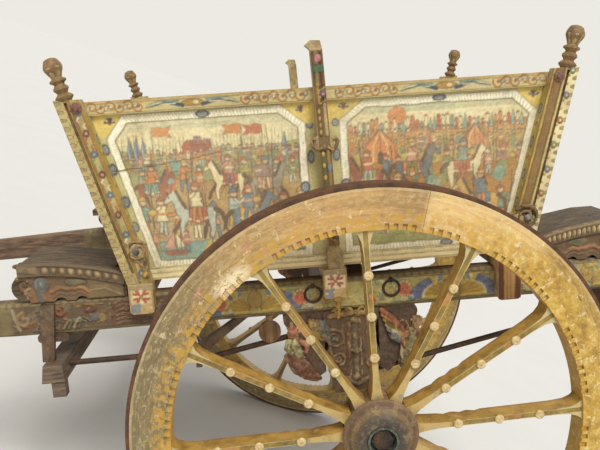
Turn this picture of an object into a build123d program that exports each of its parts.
import os
from math import asin, atan, atan2, cos, degrees, hypot, pi, radians, sin

from build123d import *

# A painted two-wheeled sicilian cart, in millimetres. +X points to the horse, +Y to the cart's left.
# It is drawn level with the axle's centre at the origin, and set down on its shaft tips at the end.

# Wheels
wheelRadius = 650.0
tyreThickness = 10.0
tyreWidth = 62.0
felloeDepth = 104.0
felloeWidth = 70.0
felloeCount = 6
felloeJoint = 0.8
notchCount = 9
notchPitch = 22.0
notchRadius = 8.5
wheelFaceY = 764.0
spokeCount = 12
spokeLead = -1.5
spokeWidth = 15.0
spokeFlareWidth = 56.0
spokeFlareLength = 70.0
spokeRootWidth = 34.0
spokeRootLength = 70.0
spokeDepth = 54.0
spokeSet = 7.0
spokeScallops = (178.0, 222.0, 262.0)
spokeScallopReach = 17.0
spokeScallopDepth = 7.0
buttonRadii = (205.0, 314.0, 421.0)
buttonRadius = 12.5
buttonProud = 4.0
buttonSides = 6
woodGap = 0.2

# Naves, from the inner end out
naveInnerY = 590.0
naveOuterY = 806.0
naveSeatRadius = 92.0
naveCollarRadius = 98.0
naveCollarWidth = 14.0
naveNoseRadius = 58.0
naveTailRadius = 68.0
naveSides = 24
hubBoxRadius = 40.0
hubBoxProud = 4.0
hubRecessRadius = 34.0
hubRecessDepth = 26.0
runningClearance = 0.08
seatClearance = 0.3

# Axle and its carved case
axleSquare = 52.0
axleArmRadius = 24.0
axleShoulderRadius = 40.0
axleShoulderWidth = 14.0
nutRadius = 29.0
nutThickness = 14.0
caseCentreX = 35.0
caseThickness = 110.0
caseEndLength = 156.0
caseEndWidth = 105.0
caseArchRise = 70.0
caseShoulderHeight = 70.0
caseWaist = 13.0
figureReach = 112.0
figureHeight = 196.0
figureThickness = 68.0
figureOutset = 10.0

# Shafts
shaftHeight = 92.0
shaftWidth = 60.0
shaftOuterY = 553.0
shaftBottomZ = 270.0
shaftTailX = -800.0
shaftBendX = 960.0
shaftTipX = 2300.0
shaftTipY = 400.0
shaftTipZ = 300.0
shaftTipRadius = 30.0
shaftTipWidth = 44.0
shaftTipHeight = 57.0
shaftChamfer = 7.0

# Box: two side panels that lean out fore and aft, on bearers over the shafts
boxCentreX = 84.0
boxTopHalf = 682.0
boxFootHalf = 552.0
boxHeight = 487.0
panelOuterY = 540.0
panelThickness = 20.0
topRailHeight = 36.0
topRailThickness = 32.0
footRailHeight = 34.0
footRailThickness = 25.0
bearerHeight = 37.0
bearerWidth = 62.0
bearerHeadThickness = 35.0
bearerHeadHeight = 82.0
bearerHeadWidth = 65.0
rearHeadHeight = 126.0
frontBearerInset = 35.0
middleBearerOffset = -7.0
rearBearerInset = 63.0
floorThickness = 25.0
floorPlanks = 5
floorGap = 2.0
floorOverhang = 34.0

# Posts
cornerPostWidth = 68.0
cornerPostThickness = 42.0
cornerPostRise = 8.0
postGrooveWidth = 8.0
postGrooveDepth = 12.0
postOuterStrip = 24.0
finialInset = 29.0
finialSides = 12
finialProfile = (
    (-6.0, 16.0), (0.0, 16.0), (8.0, 22.0), (18.0, 12.0), (30.0, 19.0), (42.0, 12.0), (50.0, 21.0), (58.0, 13.0),
    (84.0, 24.0), (106.0, 16.0))
postScrollRadius = 20.0
postScrollHeight = 92.0
middlePostX = 89.0
middlePostLean = 0.036
middlePostWidth = 32.0
middlePostFootWidth = 42.0
middlePostThickness = 44.0
middlePostRise = 118.0
middlePostArmSpan = 76.0
middlePostArmDrop = 142.0
middlePostHook = 12.0

# End boards and their guides
endBoardThickness = 20.0
endBoardInset = 52.0
endBoardSlot = 30.0
endBoardSideGap = 5.0
endBoardHeight = 440.0
guideWidth = 20.0
guideThickness = 18.0

# Wings past each end of the box
wingLength = 285.0
wingFootHeight = 66.0
wingCrestHeight = 108.0
wingSkirtThickness = 33.0
wingShelfWidth = 220.0
wingShelfThickness = 22.0
wingArchPlaces = (121.0, 178.0)
wingArchRadius = 17.0
wingArchDrop = 7.0

# Cross keys under the shafts
frontKeyX = 858.0
frontKeyWidth = 62.0
frontKeyHeight = 50.0
frontKeyTopZ = 197.0
frontKeyOverhang = 47.0
frontKeyTenonWidth = 36.0
frontKeyTenonDrop = 43.0
frontPadLength = 84.0
frontPadHeight = 24.0
strapTopWidth = 38.0
strapFootWidth = 32.0
strapThickness = 16.0
strapSlant = 15.0
rearKeyX = -735.0
rearKeyWidth = 60.0
rearKeyHeight = 125.0
rearKeyOverhang = 20.0
rearKeyEndRise = 55.0
rearKeyEndRun = 110.0
rearKeyArch = 34.0

# Ironwork
stayRadius = 8.0
rearStayY = 500.0
trussY = 528.0
braceX = 337.0
braceFootX = 470.0
braceFootZ = 134.0
braceWidth = 30.0
braceThickness = 30.0
ringRadius = 22.0
ringWire = 9.0
ringSides = 16
ringPlaces = (138.0, -81.0)
ringDrop = 37.0
discX = 265.0
discRadius = 31.0
discThickness = 14.0
discDrop = 46.0
eyeBoreRadius = 12.0
eyeRadius = 27.0
eyeThickness = 10.0
eyeX = 1750.0

shaftInnerY = shaftOuterY - shaftWidth
shaftTopZ = shaftBottomZ + shaftHeight
shaftMidY = shaftOuterY - shaftWidth / 2
boxFootZ = shaftTopZ + bearerHeight
boxTopZ = boxFootZ + boxHeight
floorTopZ = boxFootZ + floorThickness
boxLean = (boxTopHalf - boxFootHalf) / boxHeight
leanAngle = degrees(atan2(boxLean, 1))
felloeOuter = wheelRadius - tyreThickness - woodGap
felloeInner = felloeOuter - felloeDepth
wheelBackY = wheelFaceY - felloeWidth
spokeFrontY = wheelFaceY - spokeSet
panelInnerY = panelOuterY - panelThickness
hubBoxOuterY = naveOuterY + hubBoxProud
recessFloorY = hubBoxOuterY - hubRecessDepth
tipSpan = hypot(shaftTipX, shaftTipZ)
parkTilt = degrees(asin((wheelRadius - shaftTipRadius) / tipSpan) + atan2(shaftTipZ, shaftTipX))


def slab(outline, lowY, highY):
    # an outline drawn in X and Z, as thick as from lowY to highY
    return Pos(0, highY, 0) * extrude(Plane.XZ * outline, highY - lowY)


def shape(*points):
    return make_face(Polyline(*points, close=True))


def block(x0, x1, y0, y1, z0, z1):
    return Pos((x0 + x1) / 2, (y0 + y1) / 2, (z0 + z1) / 2) * Box(x1 - x0, y1 - y0, z1 - z0)


def rod(start, end, radius):
    along = Vector(*end) - Vector(*start)
    return extrude(Plane(origin=start, z_dir=along) * Circle(radius), along.length)


def hewn(stand, sides, profile):
    # turned work with flat sides: a profile of (height, radius) pairs above the plane it stands on
    body = None
    for (low, start), (high, end) in zip(profile, profile[1:]):
        if high == low:
            continue
        taper = degrees(atan((start - end) * cos(pi / sides) / (high - low)))
        band = extrude(stand.offset(low) * RegularPolygon(start, sides), high - low, taper=taper)
        body = band if body is None else body + band
    return body


def endX(z, inset=0.0):
    # half length of the box at height z, less an inset from its slanting end
    return boxFootHalf + boxLean * (z - boxFootZ) - inset


def slanted(z0, z1, outer, inner):
    # outline of a strip that follows the slanting front end of the box
    return shape(
        (boxCentreX + endX(z0, inner), z0), (boxCentreX + endX(z0, outer), z0),
        (boxCentreX + endX(z1, outer), z1), (boxCentreX + endX(z1, inner), z1))


def aft(part):
    # the same piece at the other end of the box
    return mirror(part, about=Plane.YZ.offset(boxCentreX))


def nave():
    seatFront = wheelFaceY
    seatBack = wheelBackY
    facing = Plane(origin=(0, 0, 0), x_dir=(1, 0, 0), z_dir=(0, 1, 0))
    tail = hewn(facing, naveSides, (
        (naveInnerY, naveTailRadius), (seatBack - naveCollarWidth, naveSeatRadius - 8),
        (seatBack - naveCollarWidth, naveCollarRadius), (seatBack, naveCollarRadius)))
    nose = hewn(facing, naveSides, (
        (seatFront, naveCollarRadius), (seatFront + naveCollarWidth, naveCollarRadius),
        (seatFront + naveCollarWidth, naveNoseRadius + 22), (naveOuterY, naveNoseRadius)))
    facets = RegularPolygon(naveSeatRadius, spokeCount, major_radius=False, rotation=180 / spokeCount)
    seat = Rotation(0, -spokeLead, 0) * slab(facets, seatBack, seatFront)
    return tail + seat + nose - slab(Circle(hubBoxRadius), naveInnerY, naveOuterY)


def hubBox():
    sleeve = slab(Circle(hubBoxRadius) - Circle(axleArmRadius + runningClearance), naveInnerY, recessFloorY)
    lip = slab(Circle(hubBoxRadius) - Circle(hubRecessRadius), recessFloorY, hubBoxOuterY)
    return sleeve + lip


def spoke():
    # a deep narrow blade with a fan at each end, turned buttons in front and scallops behind
    half = spokeWidth / 2
    root = spokeRootWidth / 2
    flare = spokeFlareWidth / 2
    rootEnd = naveSeatRadius + spokeRootLength
    flareStart = felloeInner - spokeFlareLength
    profile = [
        (naveSeatRadius, root), (naveSeatRadius + spokeRootLength * 0.35, half * 1.5), (rootEnd, half),
        (flareStart, half), (felloeInner - spokeFlareLength * 0.45, half * 1.4),
        (felloeInner - spokeFlareLength * 0.17, half + (flare - half) * 0.5), (felloeInner - woodGap, flare)]
    outline = shape(*profile, *[(along, -across) for along, across in reversed(profile)])
    blade = slab(outline & Circle(felloeInner - woodGap), spokeFrontY - spokeDepth, spokeFrontY)
    for radius in buttonRadii:
        button = Pos(radius, 0) * RegularPolygon(buttonRadius, buttonSides)
        blade += slab(button, spokeFrontY - buttonProud, spokeFrontY + buttonProud)
    backY = spokeFrontY - spokeDepth
    for radius in spokeScallops:
        hollow = Polyline(
            (radius - spokeScallopReach, backY), (radius, backY + spokeScallopDepth), (radius + spokeScallopReach, backY),
            close=True)
        blade -= Pos(0, 0, -spokeFlareWidth) * extrude(make_face(hollow), 2 * spokeFlareWidth)
    return blade


def spokes():
    blade = spoke()
    turns = [90 + spokeLead + 360 / spokeCount * place for place in range(spokeCount)]
    return Compound([Rotation(0, -turn, 0) * blade for turn in turns])


def felloes():
    # six arcs that meet midway between spokes, with gouged notches along their inner front edge
    step = 360 / felloeCount
    joint = degrees(felloeJoint / felloeInner)
    inner = CenterArc((0, 0), felloeInner, joint / 2, step - joint)
    outer = CenterArc((0, 0), felloeOuter, joint / 2, step - joint)
    outline = make_face([inner, outer, Line(inner @ 0, outer @ 0), Line(inner @ 1, outer @ 1)])
    felloe = slab(outline, wheelBackY, wheelFaceY)
    pitch = degrees(notchPitch / felloeInner)
    edge = Pos(felloeInner, wheelFaceY, 0) * Rotation(0, 90, 45) * RegularPolygon(notchRadius, 4)
    gouge = extrude(edge, 16, both=True)
    for middle in (0, step / 2, step):
        for place in range(notchCount):
            angle = middle + pitch * (place - (notchCount - 1) / 2)
            if 1 < angle < step - 1:
                felloe -= Rotation(0, -angle, 0) * gouge
    starts = [90 + spokeLead + step * (place + 0.25) for place in range(felloeCount)]
    return Compound([Rotation(0, -start, 0) * felloe for start in starts])


def tyre():
    inset = (felloeWidth - tyreWidth) / 2
    return slab(Circle(wheelRadius) - Circle(wheelRadius - tyreThickness), wheelBackY + inset, wheelFaceY - inset)


def axle():
    armStart = naveInnerY - seatClearance
    bar = block(-axleSquare / 2, axleSquare / 2, -armStart, armStart, -axleSquare / 2, axleSquare / 2)
    nutY = recessFloorY + seatClearance
    for side in (1, -1):
        shoulder = slab(Circle(axleShoulderRadius), armStart - axleShoulderWidth, armStart)
        arm = slab(Circle(axleArmRadius), armStart, nutY)
        nut = slab(RegularPolygon(nutRadius, 6), nutY, nutY + nutThickness)
        end = shoulder + arm + nut
        bar += end if side > 0 else mirror(end, about=Plane.XZ)
    return bar


def axleCase():
    low = axleSquare / 2
    shoulder = low + caseShoulderHeight
    innerY = shaftOuterY - caseEndWidth
    arch = make_face([
        Line((-innerY, shaftTopZ), (-innerY, low)),
        Line((-innerY, low), (-innerY * 0.78, low)),
        ThreePointArc((-innerY * 0.78, low), (0, low + caseArchRise), (innerY * 0.78, low)),
        Line((innerY * 0.78, low), (innerY, low)),
        Line((innerY, low), (innerY, shaftTopZ)),
        Line((innerY, shaftTopZ), (-innerY, shaftTopZ))])
    beam = Pos(caseCentreX - caseThickness / 2, 0, 0) * extrude(Plane.YZ * arch, caseThickness)
    half = caseEndLength / 2
    foot = caseEndLength * 0.36
    height = shaftBottomZ - low
    waist, belly, neck = (shaftBottomZ - height * share for share in (0.1, 0.49, 0.86))
    sides = []
    for side in (1, -1):
        sides += [
            Line((side * half, shaftBottomZ), (side * half, waist)),
            ThreePointArc(
                (side * half, waist), (side * (half - caseWaist), (waist + belly) / 2), (side * half * 0.95, belly)),
            ThreePointArc(
                (side * half * 0.95, belly), (side * half * 0.96, (belly + neck) / 2), (side * foot, neck)),
            Line((side * foot, neck), (side * foot, low)),
        ]
    outline = make_face([*sides, Line((half, shaftBottomZ), (-half, shaftBottomZ)), Line((foot, low), (-foot, low))])
    end = slab(Pos(caseCentreX, 0) * outline, innerY, shaftOuterY)
    return beam + end + mirror(end, about=Plane.XZ)


def figures():
    # carved brackets from the case's foot up to the shaft, ahead of the case and behind it
    wall = caseCentreX + caseEndLength / 2
    reach, drop = figureReach, figureHeight
    outline = Pos(wall, shaftBottomZ) * make_face([
        Line((0, 0), (reach * 0.9, 0)),
        ThreePointArc((reach * 0.9, 0), (reach, drop * -0.12), (reach * 0.84, drop * -0.23)),
        ThreePointArc((reach * 0.84, drop * -0.23), (reach * 0.8, drop * -0.44), (reach * 0.54, drop * -0.6)),
        ThreePointArc((reach * 0.54, drop * -0.6), (reach * 0.45, drop * -0.82), (reach * 0.21, -drop)),
        Line((reach * 0.21, -drop), (0, drop * -0.92)),
        Line((0, drop * -0.92), (0, 0))])
    ahead = slab(outline, shaftOuterY - figureOutset - figureThickness, shaftOuterY - figureOutset) - axleCase()
    return Compound([ahead.solid(), mirror(ahead.solid(), about=Plane.YZ.offset(caseCentreX))])


def chamfered(width, height, chamfer):
    across, up = width / 2, height / 2
    return shape(
        (-across, -up + chamfer), (-across + chamfer, -up), (across - chamfer, -up), (across, -up + chamfer),
        (across, up - chamfer), (across - chamfer, up), (-across + chamfer, up), (-across, up - chamfer))


def shaft():
    middleZ = (shaftBottomZ + shaftTopZ) / 2
    bar = chamfered(shaftWidth, shaftHeight, shaftChamfer)
    tail = Plane(origin=(shaftTailX, shaftMidY, middleZ), x_dir=(0, 1, 0), z_dir=(1, 0, 0))
    bend = Plane(origin=(shaftBendX, shaftMidY, middleZ), x_dir=(0, 1, 0), z_dir=(1, 0, 0))
    tip = Plane(origin=(shaftTipX, shaftTipY, shaftTipZ), x_dir=(0, 1, 0), z_dir=(1, 0, 0))
    straight = extrude(tail * bar, shaftBendX - shaftTailX)
    taper = loft([bend * bar, tip * chamfered(shaftTipWidth, shaftTipHeight, shaftChamfer)], ruled=True)
    nose = slab(
        Pos(shaftTipX, shaftTipZ) * Circle(shaftTipRadius),
        shaftTipY - shaftTipWidth / 2 + shaftChamfer, shaftTipY + shaftTipWidth / 2 - shaftChamfer)
    return straight + taper + nose


def shaftAt(x):
    # middle of the tapering part of the shaft
    share = (x - shaftBendX) / (shaftTipX - shaftBendX)
    midZ = (shaftBottomZ + shaftTopZ) / 2
    return shaftMidY + (shaftTipY - shaftMidY) * share, midZ + (shaftTipZ - midZ) * share, share


def harnessEye():
    y, z, share = shaftAt(eyeX)
    halfHeight = (shaftHeight + (shaftTipHeight - shaftHeight) * share) / 2
    foot = z + halfHeight * 0.8
    centreZ = z + halfHeight + eyeRadius + 4
    plate = shape((eyeX - 34, foot), (eyeX + 34, foot), (eyeX + eyeRadius, centreZ), (eyeX - eyeRadius, centreZ))
    disc = Pos(eyeX, centreZ) * Circle(eyeRadius)
    bored = plate + disc - Pos(eyeX, centreZ) * Circle(eyeBoreRadius)
    return slab(bored, y - eyeThickness / 2, y + eyeThickness / 2) - shaft()


def bearer(x, headHeight):
    half = bearerWidth / 2
    bar = block(x - half, x + half, -shaftOuterY, shaftOuterY, shaftTopZ, boxFootZ)
    headHalf = bearerHeadWidth / 2
    low = boxFootZ - headHeight
    head = shape(
        (x - headHalf, boxFootZ), (x - headHalf, low + 8), (x - headHalf + 8, low), (x + headHalf - 8, low),
        (x + headHalf, low + 8), (x + headHalf, boxFootZ))
    outside = slab(head, shaftOuterY, shaftOuterY + bearerHeadThickness)
    return bar + outside + mirror(outside, about=Plane.XZ)


def floor():
    width = 2 * panelInnerY - 2 * floorGap
    plank = (width - (floorPlanks - 1) * floorGap) / floorPlanks
    halfLength = boxFootHalf + floorOverhang
    pieces = []
    for place in range(floorPlanks):
        low = -width / 2 + place * (plank + floorGap)
        pieces.append(block(boxCentreX - halfLength, boxCentreX + halfLength, low, low + plank, boxFootZ, floorTopZ))
    return Compound(pieces)


def sidePanel():
    low = boxFootZ + footRailHeight
    high = boxTopZ - topRailHeight
    outline = shape(
        (boxCentreX - endX(low), low), (boxCentreX + endX(low), low),
        (boxCentreX + endX(high), high), (boxCentreX - endX(high), high))
    return slab(outline, panelInnerY, panelOuterY)


def rail(low, high, thickness):
    outline = shape(
        (boxCentreX - endX(low), low), (boxCentreX + endX(low), low),
        (boxCentreX + endX(high), high), (boxCentreX - endX(high), high))
    return slab(outline, panelInnerY, panelInnerY + thickness)


def rails():
    foot = rail(boxFootZ, boxFootZ + footRailHeight, footRailThickness)
    top = rail(boxTopZ - topRailHeight, boxTopZ, topRailThickness)
    return Compound([foot, top])


def cornerPost():
    # stands on the bearer's end, outside the rails, and carries a turned finial
    topZ = boxTopZ + cornerPostRise
    inner = panelInnerY + topRailThickness
    outer = panelOuterY + cornerPostThickness
    post = slab(slanted(boxFootZ, topZ, 0, cornerPostWidth), inner, outer)
    post += slab(slanted(boxFootZ + footRailHeight, boxTopZ - topRailHeight, 0, cornerPostWidth), panelOuterY, inner)
    groove = slanted(boxFootZ + 30, topZ, postOuterStrip, postOuterStrip + postGrooveWidth)
    post -= slab(groove, outer - postGrooveDepth, outer)
    scrollZ = boxFootZ + postScrollHeight
    scrollX = boxCentreX + endX(scrollZ, cornerPostWidth - 6)
    scroll = slab(Pos(scrollX, scrollZ) * Circle(postScrollRadius), panelOuterY + 2, outer + 6)
    fan = shape(
        (scrollX - postScrollRadius, scrollZ), (scrollX + postScrollRadius, scrollZ),
        (scrollX + 8, boxFootZ + footRailHeight), (scrollX - 22, boxFootZ + footRailHeight))
    post += scroll + slab(fan, panelOuterY + 2, outer)
    base = boxCentreX + endX(topZ, finialInset)
    middle = (inner + outer) / 2
    stand = Plane(origin=(base, middle, topZ), x_dir=(1, 0, -boxLean), z_dir=(boxLean, 0, 1))
    return post + hewn(stand, finialSides, finialProfile)


def middlePost():
    # a narrow pole with scroll arms over the pictures and a hooked head above the rail
    inner = panelInnerY + topRailThickness
    outer = panelOuterY + middlePostThickness
    half = middlePostWidth / 2
    footHalf = middlePostFootWidth / 2
    armHalf = middlePostArmSpan / 2
    armZ = boxTopZ - middlePostArmDrop
    topZ = boxTopZ + middlePostRise
    sides = [
        (footHalf, boxFootZ), (footHalf, boxFootZ + 46), (half - 3, boxFootZ + 60), (half - 3, armZ - 30),
        (armHalf - 6, armZ - 12), (armHalf, armZ + 4), (half, armZ + 16), (half, topZ - 24)]
    head = [(half - 4, topZ - 2), (-half + 2, topZ), (-half - middlePostHook, topZ - 12), (-half, topZ - 24)]
    back = [(-across, z) for across, z in reversed(sides[:-1])]

    def leaning(across, z):
        return middlePostX - across + middlePostLean * (z - boxTopZ), z

    post = slab(shape(*[leaning(*point) for point in sides + head + back]), inner, outer)
    lower = [(half - 3, boxFootZ + footRailHeight), (half - 3, boxTopZ - topRailHeight)]
    pad = [leaning(*point) for point in lower] + [leaning(-across, z) for across, z in reversed(lower)]
    return post + slab(shape(*pad), panelOuterY, inner)


def endGuides():
    low = floorTopZ
    high = floorTopZ + endBoardHeight - 10
    centre = endBoardInset
    slotHalf = endBoardSlot / 2
    pieces = []
    for start in (centre - slotHalf - guideWidth, centre + slotHalf):
        end = start + guideWidth
        strip = slab(slanted(low, high, start, end), panelInnerY - guideThickness, panelInnerY)
        pieces += [strip, aft(strip)]
    return Compound(pieces)


def endBoard():
    low = floorTopZ + seatClearance
    across = endBoardThickness / cos(radians(leanAngle)) / 2
    board = slanted(low, floorTopZ + endBoardHeight, endBoardInset - across, endBoardInset + across)
    half = panelInnerY - endBoardSideGap
    return slab(board, -half, half)


def wing():
    # carved skirt on the shaft with a rising shelf that it carries
    foot = shaftTopZ
    low = foot + wingFootHeight
    rootX = boxCentreX + endX(low) + seatClearance
    tipX = rootX + wingLength
    crestX = rootX + wingLength * 0.76
    crest = foot + wingCrestHeight
    middle = (low + crest) / 2
    neck = (tipX - 14, crest - 30)
    heel = (tipX - 30, foot + 10)
    skirt = make_face([
        Line((rootX, foot), (rootX, low)),
        ThreePointArc((rootX, low), ((rootX + crestX) / 2, middle + 7), (crestX, crest)),
        Line((crestX, crest), (tipX, crest)),
        Line((tipX, crest), neck),
        ThreePointArc(neck, (tipX + 18, (crest + foot) / 2), heel),
        Line(heel, (tipX - 44, foot)),
        Line((tipX - 44, foot), (rootX, foot))])
    carved = slab(skirt, shaftOuterY - wingSkirtThickness, shaftOuterY)
    for place in wingArchPlaces:
        archX = rootX + place
        arch = Pos(archX, foot - wingArchDrop) * Circle(wingArchRadius)
        carved -= slab(arch, shaftOuterY - wingSkirtThickness, shaftOuterY)
    shelfRoot = boxCentreX + boxFootHalf + floorOverhang + floorGap
    drop = wingShelfThickness
    shelf = shape(
        (shelfRoot, low + 12), (crestX, crest - 1), (tipX - 4, crest - 1), (tipX - 4, crest - 1 - drop),
        (crestX, crest - 1 - drop), (shelfRoot, low + 12 - drop))
    return carved + slab(shelf, shaftOuterY - wingShelfWidth, shaftOuterY - wingSkirtThickness)


def frontKey():
    half = frontKeyWidth / 2
    reach = shaftOuterY + frontKeyOverhang
    low = frontKeyTopZ - frontKeyHeight
    section = shape(
        (frontKeyX - half + 3, frontKeyTopZ), (frontKeyX + half - 8, frontKeyTopZ), (frontKeyX + half, low),
        (frontKeyX - half, low))
    key = slab(section, -reach, reach)
    inside = frontKeyX - half + 2
    tenon = block(inside, inside + frontKeyTenonWidth, reach - 34, reach - 4, low - frontKeyTenonDrop, low)
    return key + tenon + mirror(tenon, about=Plane.XZ)


def rearKey():
    half = rearKeyWidth / 2
    reach = shaftOuterY + rearKeyOverhang
    low = shaftBottomZ - rearKeyHeight
    rise, run = rearKeyEndRise, rearKeyEndRun
    outline = make_face([
        Line((-reach, shaftBottomZ), (reach, shaftBottomZ)),
        Line((reach, shaftBottomZ), (reach, low + rise)),
        ThreePointArc((reach, low + rise), (reach - run * 0.36, low + rise * 0.22), (reach - run, low)),
        ThreePointArc((reach - run, low), (0, low + rearKeyArch), (-reach + run, low)),
        ThreePointArc((-reach + run, low), (-reach + run * 0.36, low + rise * 0.22), (-reach, low + rise)),
        Line((-reach, low + rise), (-reach, shaftBottomZ))])
    return Pos(rearKeyX - half, 0, 0) * extrude(Plane.YZ * outline, rearKeyWidth)


def strap():
    # wooden hanger from the shaft's outer face down to the key's end, and the block under the shaft behind it
    topHalf = strapTopWidth / 2
    footHalf = strapFootWidth / 2
    outline = shape(
        (frontKeyX + strapSlant + footHalf, frontKeyTopZ), (frontKeyX + topHalf, shaftTopZ - 5),
        (frontKeyX - topHalf, shaftTopZ - 5), (frontKeyX + strapSlant - footHalf, frontKeyTopZ))
    hanger = slab(outline, shaftOuterY, shaftOuterY + strapThickness)
    pad = slab(
        Pos(frontKeyX, shaftBottomZ - frontPadHeight / 2)
        * RectangleRounded(frontPadLength, frontPadHeight, frontPadHeight * 0.4),
        shaftInnerY + 4, shaftOuterY - 4)
    return Compound([hanger, pad])


def brace():
    # knee brace under the shaft that spreads the front stays
    half = braceWidth / 2
    outline = shape(
        (braceX - half, shaftBottomZ), (braceX + half, shaftBottomZ), (braceFootX + 8, braceFootZ + 58),
        (braceFootX + 8, braceFootZ), (braceFootX - 8, braceFootZ), (braceFootX - 8, braceFootZ + 34))
    return slab(outline, trussY - braceThickness / 2, trussY + braceThickness / 2)


def stays():
    # iron rods: case to knee brace, brace to front key, and case to rear key
    low = axleSquare / 2 + 28
    rear = rod((caseCentreX, rearStayY, low), (rearKeyX, rearStayY, shaftBottomZ - rearKeyHeight / 2), stayRadius)
    first = rod((caseCentreX, trussY, braceFootZ + 98), (braceFootX, trussY, braceFootZ + 16), stayRadius)
    second = rod((braceFootX, trussY, braceFootZ + 42), (frontKeyX, trussY, frontKeyTopZ - 22), stayRadius)
    cutters = (axleCase(), figures(), brace(), frontKey(), rearKey())
    pieces = []
    for stay in (rear, first, second):
        for cutter in cutters:
            stay -= cutter
        pieces.append(max(stay.solids(), key=lambda part: part.volume))
    return Compound(pieces)


def shaftRings():
    # tether rings of square section, flat against the shaft
    pieces = []
    for x in ringPlaces:
        outside = RegularPolygon(ringRadius + ringWire / 2, ringSides)
        inside = RegularPolygon(ringRadius - ringWire / 2, ringSides)
        hoop = Pos(x, shaftTopZ - ringDrop) * (outside - inside)
        pieces.append(slab(hoop, shaftOuterY, shaftOuterY + ringWire))
    return Compound(pieces)


def hangingDisc():
    disc = slab(
        Pos(discX, shaftBottomZ - discDrop) * Circle(discRadius), shaftOuterY - discThickness, shaftOuterY)
    return disc + block(discX - 9, discX + 9, shaftOuterY - 10, shaftOuterY - 4, shaftBottomZ - 20, shaftBottomZ)


def bothSides(piece):
    twin = mirror(piece, about=Plane.XZ)
    return Compound([*piece.solids(), *twin.solids()])


# Each named piece of the left side has its twin on the right
sidePieces = {
    "shaft": shaft(),
    "harness_eye": harnessEye(),
    "side_panel": sidePanel(),
    "side_rails": rails(),
    "front_post": cornerPost(),
    "middle_post": middlePost(),
    "rear_post": aft(cornerPost()),
    "end_guides": endGuides(),
    "front_wing": wing(),
    "rear_wing": aft(wing()),
    "figures": figures(),
    "brace": brace(),
    "stays": stays(),
    "wheel_nave": nave(),
    "wheel_hub_box": hubBox(),
    "wheel_spokes": spokes(),
    "wheel_felloes": felloes(),
    "wheel_tyre": tyre(),
}
middlePieces = {
    "axle": axle(),
    "axle_case": axleCase(),
    "front_key": frontKey(),
    "rear_key": rearKey(),
    "front_bearer": bearer(boxCentreX + boxFootHalf - frontBearerInset, bearerHeadHeight),
    "middle_bearer": bearer(boxCentreX + middleBearerOffset, bearerHeadHeight),
    "rear_bearer": bearer(boxCentreX - boxFootHalf + rearBearerInset, rearHeadHeight),
    "floor_boards": floor(),
    "front_board": endBoard(),
    "tailboard": aft(endBoard()),
    "key_straps": bothSides(strap()),
    "shaft_rings": bothSides(shaftRings()),
    "hanging_discs": bothSides(hangingDisc()),
}

pieces = dict(middlePieces)
for name, piece in sidePieces.items():
    pieces["left_" + name] = piece
    pieces["right_" + name] = mirror(piece, about=Plane.XZ)

# Parked: turned about the axle until the shaft tips touch the floor, with the origin under the middle
turn = radians(parkTilt)
frontX = shaftTipX * cos(turn) + shaftTipZ * sin(turn) + shaftTipRadius
parked = Location((0, 0, wheelRadius), (0, parkTilt, 0))
standing = {name: parked * piece for name, piece in pieces.items()}
backX = min(piece.bounding_box().min.X for piece in standing.values())
middleX = (frontX + backX) / 2

os.makedirs("parts", exist_ok=True)
for name, piece in standing.items():
    export_step(Pos(-middleX, 0, 0) * piece, f"parts/{name}.step")
print("tilt", parkTilt, "axle x", -middleX, "front", frontX, "back", backX)
